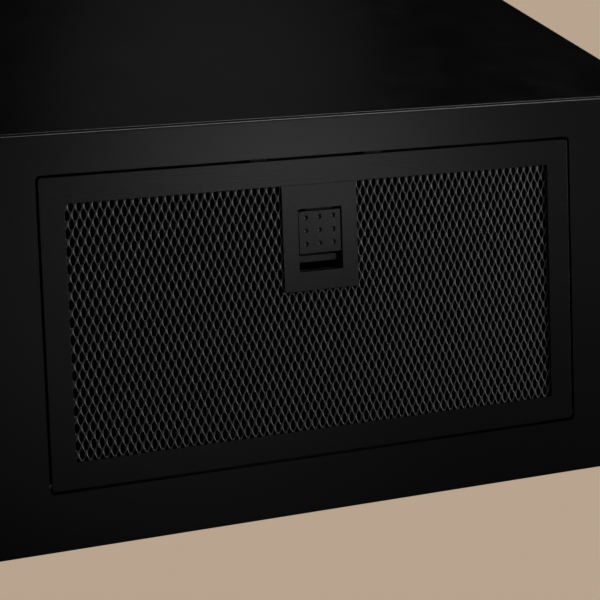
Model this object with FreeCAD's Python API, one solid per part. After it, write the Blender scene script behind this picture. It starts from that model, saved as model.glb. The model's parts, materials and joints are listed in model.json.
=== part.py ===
import FreeCAD, Part
import math
import os

# Wall-mounted cooker hood with a sloping glass front and a latched grease filter in its underside.
# Drawn with the wall as the plane y = 0, the room toward -y, and z = 0 on the underside.
# save() then moves the origin up to the centre of the four wall bolts.

# Canopy
hood_width = 600.0
base_depth = 278.0           # of the flat underside, wall to front fold
front_angle = 70.0           # slope of the front, from the horizontal
front_length = 420.0         # up that slope
sheet = 1.2
rim_height = 14.0
hem_radius = 1.2             # front edge of the underside, hemmed below the glass
hem_top_radius = 0.8
flange_end = 330.0           # where the folded flanges behind the glass stop, below the hinge axis
bolt_height = 240.0          # centre of the wall bolts above the underside
bolt_span_x = 360.0
bolt_span_z = 250.0
bolt_hole_radius = 4.0

# Grease filter cassette and the opening that it closes
opening_width = 428.5
opening_depth = 213.0
opening_corner = 4.0
front_margin = 26.1          # front fold to the opening
seam = 2.0                   # gap all round the cassette
border_x = 18.2
border_y = 18.0
filter_bottom = 0.2
filter_top = 10.6
flange = 1.4                 # the visible border, which stands that far below the mesh
frame_wall = 1.0
seat_top = 13.0
pivot_radius = 2.0
pivot_inset = 3.5            # pivot pins to the cassette's rear edge
pivot_z = 3.8

# Latch, measured along y from the window's front edge
plate_width = 60.0
plate_length = 74.5
recess_start = 17.0
recess_width = 35.3
recess_length = 44.0
pad_gap = 1.5                # front of the recess to the pad
pad_length = 30.0            # its flat part, with the nine dimples
dimple_radius = 3.1          # of the ball that presses them
dimple_depth = 0.5
dimple_pitch_x = 11.0
dimple_pitch_y = 9.4
scoop_length = 6.5           # the lower ledge behind it, where a finger goes
scoop_curve = 2.2
finger_opening = 5.6         # length of the opening in the recess's floor, behind the ledge
scoop_depth = 4.6
tongue_spacing = 92.0
tongue_width = 14.0
tongue_reach = 5.4
cross_bar_depth = 6.0
bar_z = 3.4
bar_thickness = 1.4
spring_x = 14.0
spring_z = 5.3

# Glass flap and the fascia above it
glass_thickness = 4.0
glass_gap = 1.5              # glass to the canopy's sloping edges
flap_bottom = 6.0
flap_top = 336.0
fascia_start = 344.0
hinge_along = 332.0          # hinge axis, up the slope
hinge_depth = -3.5           # and behind the canopy's front plane
hinge_spacing = 430.0
hinge_pin_radius = 2.0
panel_depth = -12.8          # outer face of the panel behind the glass

# Controls
button_count = 5
button_pitch = 34.0
button_radius = 7.0
button_along = 381.0
bezel_corner = 2.5
board_left = 150.0           # control box inside the canopy, under its top
board_right = 272.0
board_rear = -30.0
board_front = -130.0
board_drop = 48.0

# Blower: a volute of three quarter arcs round a double-inlet wheel
wheel_y = -190.0
wheel_z = 190.0
wheel_radius = 75.0
wheel_half_width = 58.0
blade_count = 32
volute_radius = 88.0
volute_step = 14.0
volute_half_width = 64.0
volute_wall = 2.0
volute_top = 305.0
inlet_radius = 62.0
running_gap = 0.05
motor_radius = 40.0
motor_start = 8.0
motor_end = 56.0
cartridge_radius = 94.0      # carbon cartridges on both inlets
cartridge_depth = 30.0
capacitor_x = -120.0         # left end of the can
capacitor_y = -32.0
capacitor_z = 330.0
capacitor_radius = 14.0
capacitor_length = 48.0

# Outlet and chimney
duct_y = -125.0
spigot_radius = 74.5
spigot_bore = 73.0
spigot_top = 450.0
damper_z = 406.0
damper_pin_radius = 2.0
sleeve_gap = 0.6
damper_sleeves = [(-66, -41), (-40, -14), (-13, 13), (14, 40), (41, 66)]   # along the pin
chimney_width = 260.0
chimney_depth = 250.0
chimney_lower_top = 720.0
chimney_upper_bottom = 560.0
chimney_upper_top = 980.0
chimney_sheet = 1.0
chimney_bolt_span = 160.0
chimney_bolt_z = 865.0
chimney_screw_y = -16.0

# Screws and the mains inlet
screw_radius = 1.7
panel_screw_places = (-230.0, -130.0, -40.0)
panel_screw_z = 7.5
gland_x = 205.0
gland_y = -60.0
gland_hole = 8.2

# Lamps
lamp_x = 272.0
lamp_y = -214.0
lamp_hole = 17.0
lamp_opening = 14.5          # clear inside the bezel
lamp_lens_radius = 15.4

Vec = FreeCAD.Vector
along_x = Vec(1, 0, 0)
along_y = Vec(0, 1, 0)
along_z = Vec(0, 0, 1)
slope_sin = math.sin(math.radians(front_angle))
slope_cos = math.cos(math.radians(front_angle))
canopy_height = front_length * slope_sin
half_width = hood_width / 2
glass_face = glass_gap + glass_thickness
body_depth = base_depth - glass_face / slope_sin   # wall to the canopy's own front plane, behind the glass
filter_y = -base_depth + front_margin + opening_depth / 2
filter_half_x = opening_width / 2 - seam
filter_half_y = opening_depth / 2 - seam
window_half_x = filter_half_x - border_x
window_half_y = filter_half_y - border_y
window_front = filter_y - window_half_y
filter_front = filter_y - filter_half_y
mesh_bottom = filter_bottom + flange
mesh_top = mesh_bottom + 1.2
pack_bottom = bar_z + bar_thickness + 0.5
frame_inside = filter_top - frame_wall - 0.1
recess_front = window_front + recess_start
pivot_y = filter_y + filter_half_y - pivot_inset
cross_bar_front = filter_front + 4.4
bezel_half = (button_count - 1) * button_pitch / 2 + 18.0

os.makedirs("parts", exist_ok=True)


def save(name, *solids):
    group = Part.makeCompound(list(solids)) if len(solids) > 1 else solids[0].copy()
    group.translate(Vec(0, 0, -bolt_height))
    group.exportStep("parts/" + name + ".step")


def box(x0, x1, y0, y1, z0, z1):
    return Part.makeBox(x1 - x0, y1 - y0, z1 - z0, Vec(x0, y0, z0))


def rod(x, y, z, radius, length, direction=along_z):
    return Part.makeCylinder(radius, length, Vec(x, y, z), direction)


def tube(x, y, z, outer, inner, length, direction=along_z):
    start = rod(x, y, z, outer, length, direction)
    return start.cut(rod(x, y, z, inner, length, direction))


def ring_frame(half_x, half_y, inner_x, inner_y, y, z0, z1, corner):
    outer = rounded_slab(half_x, half_y, y, z0, z1, corner)
    return outer.cut(box(-inner_x, inner_x, y - inner_y, y + inner_y, z0, z1))


def rounded_slab(half_x, half_y, y, z0, z1, corner):
    slab = box(-half_x, half_x, y - half_y, y + half_y, z0, z1)
    upright = [edge for edge in slab.Edges if abs(edge.tangentAt(edge.FirstParameter).z) > 0.9]
    return slab.makeFillet(corner, upright)


def profile_along_x(points, x0, x1):
    corners = [Vec(x0, y, z) for y, z in points]
    return Part.Face(Part.makePolygon(corners + corners[:1])).extrude(Vec(x1 - x0, 0, 0))


def fillet_along_x(shape, radius, y, z):
    chosen = []
    for edge in shape.Edges:
        middle = edge.CenterOfMass
        runs_in_x = abs(edge.tangentAt(edge.FirstParameter).x) > 0.9
        if runs_in_x and abs(middle.y - y) < 0.05 and abs(middle.z - z) < 0.05:
            chosen.append(edge)
    return shape.makeFillet(radius, chosen)


def front_point(along, out):
    return (-body_depth - along * slope_cos - out * slope_sin, along * slope_sin - out * slope_cos)


def front_height(out, z):
    # how far up the slope a plane parallel to the front reaches the height z
    along = (z + out * slope_cos) / slope_sin
    return front_point(along, out)


def on_front(shape):
    # drawn flat as (x, up the slope, outward), then laid on the sloping front
    placed = shape.copy()
    placed.rotate(Vec(0, 0, 0), along_x, 180 - front_angle)
    placed.translate(Vec(0, -body_depth, 0))
    return placed


def both_sides(shape):
    return [shape, shape.mirror(Vec(0, 0, 0), along_x)]


def wall_bolt_places():
    for side in (-1, 1):
        for level in (-1, 1):
            yield side * bolt_span_x / 2, bolt_height + level * bolt_span_z / 2


# Canopy: back, top and two sides folded from one sheet, with flanges behind the glass
def canopy_shell():
    side_outline = [(0, 0), (-body_depth, 0), front_point(front_length, 0), (0, canopy_height)]
    side = profile_along_x(side_outline, half_width - sheet, half_width)
    flange = on_front(box(half_width - 11, half_width, 15, flange_end, -sheet, 0))
    back = box(-half_width, half_width, -sheet, 0, 0, canopy_height)
    top_front = front_height(-13.0, canopy_height)[0]
    top = box(-half_width, half_width, top_front, 0, canopy_height - sheet, canopy_height)
    shell = back.fuse([top] + both_sides(side) + both_sides(flange)).removeSplitter()
    for x, z in wall_bolt_places():
        shell = shell.cut(rod(x, -5, z, bolt_hole_radius, 10, along_y))
    shell = shell.cut(rod(0, duct_y, canopy_height - 5, spigot_radius + 1, 10))
    shell = shell.cut(rod(gland_x, gland_y, canopy_height - 5, gland_hole, 10))
    return shell.cut(screw_holes())


def underside_panel():
    inset = sheet + 0.2
    half = half_width - inset
    inner_corner = front_height(-sheet, sheet)
    hem_top = front_height(glass_face, 2 * sheet)
    outline = [(-inset, 0), (-base_depth, 0), hem_top, front_height(0, 2 * sheet),
               front_point(rim_height, 0), front_point(rim_height, -sheet), inner_corner, (-inset, sheet)]
    panel = profile_along_x(outline, -half, half)
    panel = fillet_along_x(panel, hem_radius, -base_depth, 0)
    panel = fillet_along_x(panel, hem_top_radius, *hem_top)
    rims = both_sides(box(half - sheet, half, -body_depth + 4, -inset, sheet / 2, rim_height))
    rims.append(box(-half, half, -inset - sheet, -inset, sheet / 2, rim_height))
    panel = panel.fuse(rims)
    hole = rounded_slab(opening_width / 2, opening_depth / 2, filter_y, -1, 5, opening_corner)
    for x in (-lamp_x, lamp_x):
        hole = hole.fuse(rod(x, lamp_y, -1, lamp_hole, 6))
    return panel.cut(hole).cut(screw_holes())


def seat_slots():
    # the two windows in the seat's front wall that the latch tongues enter
    slots = []
    for x in (-tongue_spacing / 2, tongue_spacing / 2):
        half = tongue_width / 2 + 0.8
        slots.append(box(x - half, x + half, filter_front - seam - 6, filter_front + 1, 3.0, 5.8))
    return slots


def filter_seat():
    wall = 1.2
    half_x = opening_width / 2
    half_y = opening_depth / 2
    outer = rounded_slab(half_x + wall, half_y + wall, filter_y, sheet, seat_top, opening_corner + wall)
    inner = rounded_slab(half_x, half_y, filter_y, sheet - 1, seat_top - wall, opening_corner)
    seat = outer.cut(inner)
    seat = seat.cut(box(-half_x + 9, half_x - 9, filter_y - half_y + 9, filter_y + half_y - 9, 5, 20))
    foot = rounded_slab(half_x + 9, half_y + 9, filter_y, sheet, 2 * sheet, opening_corner + 9)
    foot = foot.cut(rounded_slab(half_x, half_y, filter_y, 0, 5, opening_corner))
    seat = seat.fuse(foot)
    seat = seat.cut(Part.makeCompound(seat_slots()))
    pivots = rod(-half_x - 5, pivot_y, pivot_z, pivot_radius + running_gap, 2 * half_x + 10, along_x)
    return seat.cut(pivots)


def latch_keeper():
    # a folded strip behind the seat's front wall, holding the tongues from below
    back = filter_front - seam - 1.2
    keepers = []
    for x in (-tongue_spacing / 2, tongue_spacing / 2):
        strip = box(x - 14, x + 14, back - 5.5, back, 2 * sheet, 8)
        keepers.append(strip.cut(box(x - 8, x + 8, back - 4.7, back, 3.0, 7.2)))
    return keepers


# Grease filter cassette: a folded frame round five layers of expanded aluminium
def filter_frame():
    frame = ring_frame(filter_half_x, filter_half_y, window_half_x, window_half_y,
                       filter_y, filter_bottom, filter_top, 2.5)
    channel = ring_frame(filter_half_x - frame_wall, filter_half_y - frame_wall, window_half_x - 1,
                         window_half_y - 1, filter_y, mesh_bottom, filter_top - frame_wall, 1.5)
    lip = box(-window_half_x - 6, window_half_x + 6, filter_y - window_half_y - 6,
              filter_y + window_half_y + 6, mesh_bottom, filter_top + 1)
    frame = frame.cut(channel).cut(lip)
    slots = []
    for x in (-tongue_spacing / 2, tongue_spacing / 2):
        half = tongue_width / 2 + 0.4
        slots.append(box(x - half, x + half, filter_front - 1, filter_front + 2, bar_z - 0.3, bar_z + 1.7))
    for side in (-1, 1):
        bore_start = side * (filter_half_x - 0.5) - 1.5
        slots.append(rod(bore_start, pivot_y, pivot_z, pivot_radius, 3, along_x))
    return frame.cut(Part.makeCompound(slots))


def latch_cutout(margin, z0, z1):
    half = plate_width / 2 + margin
    return box(-half, half, window_front - 10, window_front + plate_length + margin, z0, z1)


def mesh_slab(z0, z1, tuck):
    slab = box(-window_half_x - tuck, window_half_x + tuck, filter_y - window_half_y - tuck,
               filter_y + window_half_y + tuck, z0, z1)
    return slab.cut(latch_cutout(0.3, z0 - 1, z1 + 1))


def filter_pivots():
    return both_sides(rod(filter_half_x - 3.0, pivot_y, pivot_z, pivot_radius, 7.2, along_x))


def latch_plate():
    half = plate_width / 2
    front = window_front + 0.1
    face = box(-half, half, front, front + plate_length - 0.1, mesh_bottom - 0.4, mesh_bottom + 1.0)
    wide = recess_width / 2
    rear = recess_front + recess_length
    tub_top = filter_top - 1.6
    tub = box(-wide - 1, wide + 1, recess_front - 1, rear + 1, mesh_bottom, tub_top)
    foot = box(-half + 5, half - 5, front - 6, front + 1, mesh_bottom, mesh_bottom + 1.0)
    plate = face.fuse([tub, foot])
    plate = plate.cut(box(-wide, wide, recess_front, rear, 0, tub_top - 1))
    plate = plate.cut(box(-wide + 1, wide - 1, rear - finger_opening, rear - 0.5, tub_top - 2, tub_top + 1))
    stem = box(-10.6, 10.6, recess_front - 2, recess_front + 1, bar_z - 0.3, bar_z + bar_thickness + 0.3)
    return plate.cut(stem)


def latch_pad():
    wide = recess_width / 2 - 0.5
    front = recess_front + pad_gap
    rear = front + pad_length + scoop_length
    bottom = mesh_bottom + 0.2
    pad = box(-wide, wide, front, rear, bottom, bottom + 3.0)
    pad = pad.fuse(box(-wide, wide, front + pad_length - 2, rear, bottom, bottom + scoop_depth + 1))
    pad = pad.makeFillet(0.6, [edge for edge in pad.Edges if edge.CenterOfMass.z < bottom + 0.1])
    step = front + pad_length
    scoop = box(-recess_width, recess_width, step, rear + 5, bottom - 1, bottom + scoop_depth)
    pad = pad.cut(fillet_along_x(scoop, scoop_curve, step, bottom + scoop_depth))
    dimples = []
    for column in (-1, 0, 1):
        for row in (-1, 0, 1):
            dimple_y = front + pad_length / 2 + row * dimple_pitch_y - 1
            centre = Vec(column * dimple_pitch_x, dimple_y, bottom + dimple_depth - dimple_radius)
            dimples.append(Part.makeSphere(dimple_radius, centre))
    pad = pad.cut(Part.makeCompound(dimples))
    slot = box(-10, 10, front - 1, front + pad_length - 4, bar_z, bar_z + bar_thickness)
    return pad.cut(slot)


def latch_bar():
    # the stem runs from the pad to the cross bar, and the two tongues reach out from its ends
    front = recess_front + pad_gap
    top = bar_z + bar_thickness
    stem = box(-10, 10, cross_bar_front, front + pad_length - 4, bar_z, top)
    cross = box(-tongue_spacing / 2 - 7, tongue_spacing / 2 + 7, cross_bar_front,
                cross_bar_front + cross_bar_depth, bar_z, top)
    tongues = []
    for x in (-tongue_spacing / 2, tongue_spacing / 2):
        tongues.append(box(x - tongue_width / 2, x + tongue_width / 2, filter_front - tongue_reach,
                           cross_bar_front + 1, bar_z, top))
    rear = cross_bar_front + cross_bar_depth
    lugs = [box(x - 2.6, x + 2.6, rear - 1, rear, bar_z, spring_z + 2.2) for x in (-spring_x, spring_x)]
    return stem.fuse([cross] + tongues + lugs).removeSplitter()


def coil_spring(x, y, z, radius, wire, length, turns):
    # wound along y
    spine = Part.makeHelix((length - wire) / turns, length - wire, radius)
    profile = Part.Wire(Part.Circle(Vec(radius, 0, 0), along_y, wire / 2).toShape())
    coil = Part.Wire(spine.Edges).makePipeShell([profile], True, True)
    coil.rotate(Vec(0, 0, 0), along_x, -90)
    coil.translate(Vec(x, y + wire / 2, z))
    return coil


def latch_springs():
    start = cross_bar_front + cross_bar_depth + 0.1
    length = recess_front - 1.1 - start
    springs = []
    for x in (-spring_x, spring_x):
        springs.append(coil_spring(x, start, spring_z, 1.7, 0.5, length, 9))
    return springs


# Glass flap
def flap_glass():
    half = half_width - sheet - 0.4
    pane = box(-half, half, flap_bottom, flap_top, glass_gap, glass_face)
    long_edges = [edge for edge in pane.Edges if edge.Length > 100]
    return on_front(pane.makeChamfer(0.5, long_edges))


def flap_carrier():
    outer = box(-280, 280, 16, 320, -9, glass_gap)
    inner = box(-279, 279, 17, 319, -10, glass_gap - 1)
    return on_front(outer.cut(inner))


def hinge_places():
    return (-hinge_spacing / 2, hinge_spacing / 2)


def hinge_brackets():
    brackets = []
    for x in hinge_places():
        base = box(x - 16, x + 16, hinge_along - 4, hinge_along + 4, panel_depth, panel_depth + 1)
        cheeks = []
        for start in (x - 10, x + 7):
            cheek = box(start, start + 3, hinge_along - 4, hinge_along + 4, panel_depth, hinge_depth)
            cheeks.append(cheek.fuse(rod(start, hinge_along, hinge_depth, 4, 3, along_x)))
        bracket = base.fuse(cheeks)
        bore = rod(x - 20, hinge_along, hinge_depth, hinge_pin_radius, 40, along_x)
        brackets.append(on_front(bracket.cut(bore)))
    return brackets


def hinge_arms():
    arms = []
    for x in hinge_places():
        arm = box(x - 6.6, x + 6.6, 320, hinge_along, -7, glass_gap)
        tip = rod(x - 6.6, hinge_along, hinge_depth, 3.5, 13.2, along_x)
        web = box(x - 6.6, x + 6.6, 320, flap_top - 1, 0, glass_gap)
        arm = arm.fuse([tip, web])
        bore = rod(x - 7, hinge_along, hinge_depth, hinge_pin_radius + running_gap, 14, along_x)
        arms.append(on_front(arm.cut(bore)))
    return arms


def hinge_pins():
    pins = []
    for x in hinge_places():
        shank = rod(x - 11, hinge_along, hinge_depth, hinge_pin_radius, 22, along_x)
        head = rod(x - 12.2, hinge_along, hinge_depth, 3.2, 1.7, along_x)
        pins.append(on_front(shank.fuse(head.cut(rod(x - 10.5, hinge_along, hinge_depth, 9, 9, along_x)))))
    return pins


def catch_magnets():
    return [on_front(block) for block in both_sides(box(240, 262, 26, 40, panel_depth, -0.6))]


def strike_plates():
    return [on_front(block) for block in both_sides(box(238, 264, 24, 42, -0.3, glass_gap - 1))]


def flap_bumpers():
    bumpers = []
    for along in (30, 300):
        bumpers += both_sides(rod(294.5, along, 0, 3.5, glass_gap - 0.3))
    return [on_front(bumper) for bumper in bumpers]


def front_panel():
    half = half_width - 2 * sheet - 0.6
    panel = box(-half, half, 7, front_length - 8, panel_depth - sheet, panel_depth)
    slots = []
    for along in (60, 84, 252, 276):
        for column in range(-4, 5):
            x = column * 60.0
            slots.append(box(x - 22, x + 22, along, along + 9, panel_depth - 3, panel_depth + 3))
    return on_front(panel.cut(Part.makeCompound(slots)))


# Control strip above the glass
def control_fascia():
    half = half_width - sheet - 0.3
    back = -12.0
    outline = [front_point(fascia_start, back), front_point(fascia_start, glass_face),
               front_height(glass_face, canopy_height), front_height(back, canopy_height)]
    inner_face = glass_face - sheet
    inner_top = canopy_height - sheet
    hollow = [front_point(fascia_start + sheet, back - 2), front_point(fascia_start + sheet, inner_face),
              front_height(inner_face, inner_top), front_height(back - 2, inner_top)]
    fascia = profile_along_x(outline, -half, half).cut(profile_along_x(hollow, -half, half))
    cheek = [front_point(fascia_start, 0.2), front_point(fascia_start, glass_face),
             front_height(glass_face, canopy_height), front_height(0.2, canopy_height)]
    fascia = fascia.fuse(both_sides(profile_along_x(cheek, half - 1, half_width)))
    window = box(-bezel_half, bezel_half, button_along - 10, button_along + 10, 0, 10)
    return fascia.cut(on_front(window)).removeSplitter()


def button_places():
    return [(index - (button_count - 1) / 2) * button_pitch for index in range(button_count)]


def button_bezel():
    body = rounded_slab(bezel_half - 0.2, 9.8, button_along, glass_face - 4.5, glass_face, bezel_corner)
    lip = rounded_slab(bezel_half + 2.5, 12.5, button_along, glass_face, glass_face + 0.8, bezel_corner)
    bezel = body.fuse(lip)
    for x in button_places():
        bezel = bezel.cut(rod(x, button_along, -5, button_radius + 0.3, 20))
    return on_front(bezel)


def push_button(x):
    top = glass_face + 2.6
    cap = rod(x, button_along, glass_face - 3.5, button_radius, top - glass_face + 3.5)
    rim = [edge for edge in cap.Edges if edge.BoundBox.ZMin > top - 0.1]
    cap = cap.makeFillet(0.8, rim)
    collar = rod(x, button_along, glass_face - 6.0, button_radius + 1.2, 1.0)
    stem = rod(x, button_along, glass_face - 6.4, 2.0, 3.0)
    return on_front(cap.fuse([collar, stem]))


def switch_board():
    half = bezel_half - 2
    board = box(-half, half, button_along - 12, button_along + 12, -8.0, -6.4)
    posts = both_sides(rod(half - 3, button_along, -6.4, 2.0, 6.4 + glass_face - 4.5))
    return on_front(board.fuse(posts))


def tact_switches():
    switches = []
    for x in button_places():
        body = box(x - 3, x + 3, button_along - 3, button_along + 3, -6.4, -3.4)
        switches.append(on_front(body.fuse(rod(x, button_along, -3.4, 1.7, 0.9))))
    return switches


# Blower
def volute_face(grow, x):
    r1 = volute_radius + grow
    r2 = r1 + volute_step
    r3 = r2 + volute_step
    y1 = wheel_y
    y2 = wheel_y + volute_step
    z3 = wheel_z + volute_step
    half = math.sqrt(0.5)
    cutoff = y1 - grow
    rise = math.sqrt(r1 * r1 - grow * grow)

    def at(y, z):
        return Vec(x, y, z)
    pieces = [
        Part.LineSegment(at(cutoff, volute_top), at(cutoff, wheel_z + rise)),
        Part.Arc(at(cutoff, wheel_z + rise), at(y1 - r1 * half, wheel_z + r1 * half), at(y1 - r1, wheel_z)),
        Part.Arc(at(y1 - r1, wheel_z), at(y2 - r2 * half, wheel_z - r2 * half), at(y2, wheel_z - r2)),
        Part.Arc(at(y2, wheel_z - r2), at(y2 + r3 * half, z3 - r3 * half), at(y2 + r3, z3)),
        Part.LineSegment(at(y2 + r3, z3), at(y2 + r3, volute_top)),
        Part.LineSegment(at(y2 + r3, volute_top), at(cutoff, volute_top))]
    return Part.Face(Part.Wire([piece.toShape() for piece in pieces]))


def blower_volute():
    outer = volute_face(volute_wall, -volute_half_width).extrude(Vec(2 * volute_half_width, 0, 0))
    clear = volute_half_width - volute_wall
    inner = volute_face(0, -clear).extrude(Vec(2 * clear, 0, 0))
    volute = outer.cut(inner)
    mouth = box(-clear, clear, wheel_y + 1, wheel_y + 2 * volute_step + volute_radius + 13,
                volute_top - 20, volute_top + 5)
    volute = volute.cut(mouth)
    return volute.cut(rod(-100, wheel_y, wheel_z, inlet_radius + 6, 200, along_x))


def inlet_rings():
    # a rolled bell mouth in each side of the volute
    steps = [(0, 14), (2, 14), (2, 3), (-1.5, 0), (-4.5, 0), (-4.5, 2), (0, 5.5)]
    outline = [Vec(volute_half_width + out, inlet_radius + up, 0) for out, up in steps]
    ring = Part.Face(Part.makePolygon(outline + outline[:1])).revolve(Vec(0, 0, 0), along_x, 360)
    ring.translate(Vec(0, wheel_y, wheel_z))
    return both_sides(ring)


def motor():
    can = rod(motor_start, wheel_y, wheel_z, motor_radius, motor_end - motor_start, along_x)
    can = can.makeFillet(4, [edge for edge in can.Edges if edge.Length > 200])
    nose = rod(motor_start - 3, wheel_y, wheel_z, 12, 5, along_x)
    bore = rod(0, wheel_y, wheel_z, 4 + running_gap, 50, along_x)
    return can.fuse(nose).cut(bore)


def motor_spider():
    # three arms from the motor's back to the inlet ring's outside
    x0 = motor_end
    hub = tube(x0, wheel_y, wheel_z, 34, 10, 3, along_x)
    arms = []
    for index in range(3):
        arm = box(x0, x0 + 3, -6, 6, 20, inlet_radius - 1.4)
        out = box(x0, volute_half_width + 5, -6, 6, inlet_radius - 4.4, inlet_radius - 1.4)
        ear = box(volute_half_width + 2, volute_half_width + 5, -6, 6, inlet_radius - 4.4, inlet_radius + 12)
        arm = arm.fuse([out, ear])
        arm.rotate(Vec(0, 0, 0), along_x, 120 * index)
        arm.translate(Vec(0, wheel_y, wheel_z))
        arms.append(arm)
    return hub.fuse(arms).removeSplitter()


def fan_wheel():
    disc = rod(-1.5, wheel_y, wheel_z, wheel_radius, 3, along_x)
    hub = rod(-10, wheel_y, wheel_z, 11, 13, along_x)
    rings = []
    for start in (-wheel_half_width, wheel_half_width - 3):
        rings.append(tube(start, wheel_y, wheel_z, wheel_radius + 1.5, wheel_radius - 9, 3, along_x))
    blades = []
    for index in range(blade_count):
        blade = box(-wheel_half_width + 1, wheel_half_width - 1, wheel_radius - 13, wheel_radius, -0.6, 0.6)
        blade.rotate(Vec(0, wheel_radius - 6, 0), along_x, 38)
        blade.rotate(Vec(0, 0, 0), along_x, 360.0 * index / blade_count)
        blade.translate(Vec(0, wheel_y, wheel_z))
        blades.append(blade)
    wheel = disc.fuse([hub] + rings + blades)
    return wheel.cut(rod(-20, wheel_y, wheel_z, 4.0, 60, along_x))


def motor_shaft():
    return rod(-16, wheel_y, wheel_z, 4.0, 62, along_x)


def shaft_nut():
    blank = rod(-15, wheel_y, wheel_z, 7.5, 4.8, along_x)
    flats = []
    for index in range(6):
        cutter = box(-20, 0, 6.5, 20, -20, 20)
        cutter.rotate(Vec(0, 0, 0), along_x, 60 * index)
        cutter.translate(Vec(0, wheel_y, wheel_z))
        flats.append(cutter)
    nut = blank.cut(flats[0].fuse(flats[1:]))
    return nut.cut(rod(-20, wheel_y, wheel_z, 4.0, 30, along_x))


def blower_brackets():
    rear = wheel_y + 2 * volute_step + volute_radius + volute_step + volute_wall
    brackets = []
    for x in (-volute_half_width + 6, volute_half_width - 30):
        for z in (215.0, 270.0):
            web = box(x, x + 24, rear, rear + 2, z, z + 20)
            arm = box(x, x + 24, rear, -sheet, z, z + 2)
            foot = box(x, x + 24, -sheet - 2, -sheet, z, z + 20)
            brackets.append(web.fuse([arm, foot]).removeSplitter())
    return brackets


def run_capacitor():
    return rod(capacitor_x, capacitor_y, capacitor_z, capacitor_radius, capacitor_length, along_x)


def capacitor_clip():
    start = capacitor_x + 16
    end = start + 12
    outer = capacitor_radius + 1.2
    band = tube(start, capacitor_y, capacitor_z, outer, capacitor_radius, end - start, along_x)
    foot = box(start, end, capacitor_y + capacitor_radius - 0.5, -sheet, capacitor_z - 2, capacitor_z + 2)
    return band.fuse(foot).cut(rod(start - 5, capacitor_y, capacitor_z, capacitor_radius, 30, along_x))


def carbon_filter():
    start = volute_half_width + 7
    disc = rod(start, wheel_y, wheel_z, cartridge_radius, cartridge_depth, along_x)
    disc = disc.makeFillet(3, [edge for edge in disc.Edges if edge.Length > 200])
    well = rod(start + 16, wheel_y, wheel_z, 26, 20, along_x)
    grip = box(start + 15, start + 28, wheel_y - 26, wheel_y + 26, wheel_z - 4, wheel_z + 4)
    grip = grip.common(rod(start + 10, wheel_y, wheel_z, 26, 30, along_x))
    skirt = tube(start - 4.6, wheel_y, wheel_z, 80, 76.5, 5, along_x)
    return disc.cut(well).fuse([grip, skirt])


# Outlet
def outlet_box():
    bottom = volute_top
    top = canopy_height - sheet
    half = volute_half_width
    rear = wheel_y + 2 * volute_step + volute_radius + volute_step + volute_wall
    outer = box(-half, half, wheel_y - volute_wall, rear, bottom, top)
    inner = box(-half + 2, half - 2, wheel_y, rear - 2, bottom - 1, top - 2)
    return outer.cut(inner).cut(rod(0, duct_y, top - 5, spigot_bore - 12, 10))


def outlet_spigot():
    base = canopy_height
    collar = rod(0, duct_y, base, spigot_radius, spigot_top - base)
    flange = rod(0, duct_y, base, spigot_radius + 14, 1.6)
    spigot = collar.fuse(flange).cut(rod(0, duct_y, base - 5, spigot_bore, 100))
    stop = tube(0, duct_y, damper_z - 2.4, spigot_bore + 0.5, spigot_bore - 3, 1.6)
    stop = stop.cut(box(-80, 80, duct_y - 6, duct_y + 6, 0, 900))
    spigot = spigot.fuse(stop)
    return spigot.cut(rod(-90, duct_y, damper_z, damper_pin_radius, 180, along_x))


def damper_pin():
    half = spigot_radius - 0.3
    return rod(-half, duct_y, damper_z, damper_pin_radius, 2 * half, along_x)


def damper_flap(side, sleeves):
    # side -1 is the front half of the disc, +1 the rear half
    disc = rod(0, duct_y, damper_z - 0.6, spigot_bore - 1.5, 1.2)
    near = 0.4
    keep = box(-80, 80, duct_y + near, duct_y + 80, 0, 900)
    if side < 0:
        keep = box(-80, 80, duct_y - 80, duct_y - near, 0, 900)
    flap = disc.common(keep)
    other = [span for span in damper_sleeves if span not in sleeves] + [(-75, -66.4), (66.4, 75)]
    for start, end in other:
        flap = flap.cut(box(start - sleeve_gap, end + sleeve_gap, duct_y - 4, duct_y + 4, 0, 900))
    for start, end in sleeves:
        flap = flap.fuse(rod(start, duct_y, damper_z, 3.2, end - start, along_x))
    return flap.cut(rod(-90, duct_y, damper_z, damper_pin_radius + running_gap, 180, along_x))


# Chimney
def chimney_section(width, depth, bottom, top):
    outer = box(-width / 2, width / 2, -depth, 0, bottom, top)
    inside = box(-width / 2 + chimney_sheet, width / 2 - chimney_sheet, -depth + chimney_sheet, 1,
                 bottom - 1, top + 1)
    upright = [edge for edge in outer.Edges
               if abs(edge.tangentAt(edge.FirstParameter).z) > 0.9 and edge.CenterOfMass.y < -1]
    return outer.makeFillet(2.0, upright).cut(inside)


def chimney_lower():
    return chimney_section(chimney_width, chimney_depth, canopy_height + 0.1, chimney_lower_top)


def chimney_upper():
    section = chimney_section(chimney_width - 3, chimney_depth - 1.5,
                              chimney_upper_bottom, chimney_upper_top)
    slots = []
    for index in range(5):
        z = chimney_upper_top - 90 + 12 * index
        slots.append(box(-200, 200, -190, -60, z, z + 5))
    return section.cut(Part.makeCompound(slots)).cut(chimney_screw_hole())


def chimney_bracket():
    half = (chimney_width - 3) / 2 - chimney_sheet - 0.1
    back = box(-half, half, -1.5, 0, chimney_bolt_z - 15, chimney_bolt_z + 15)
    ears = both_sides(box(half - 1.5, half, -28, 0, chimney_bolt_z - 15, chimney_bolt_z + 15))
    bracket = back.fuse(ears)
    for x in (-chimney_bolt_span / 2, chimney_bolt_span / 2):
        bracket = bracket.cut(rod(x, -5, chimney_bolt_z, 3.0, 10, along_y))
    return bracket.cut(chimney_screw_hole())


# Small fittings
def pan_screw(x, y, z, direction):
    head = rod(x, y, z, 3.3, 1.3, direction)
    return head.fuse(rod(x, y, z, screw_radius, 4.5, direction * -1))


def chimney_screw_hole():
    return rod(-200, chimney_screw_y, chimney_bolt_z, screw_radius, 400, along_x)


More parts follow.
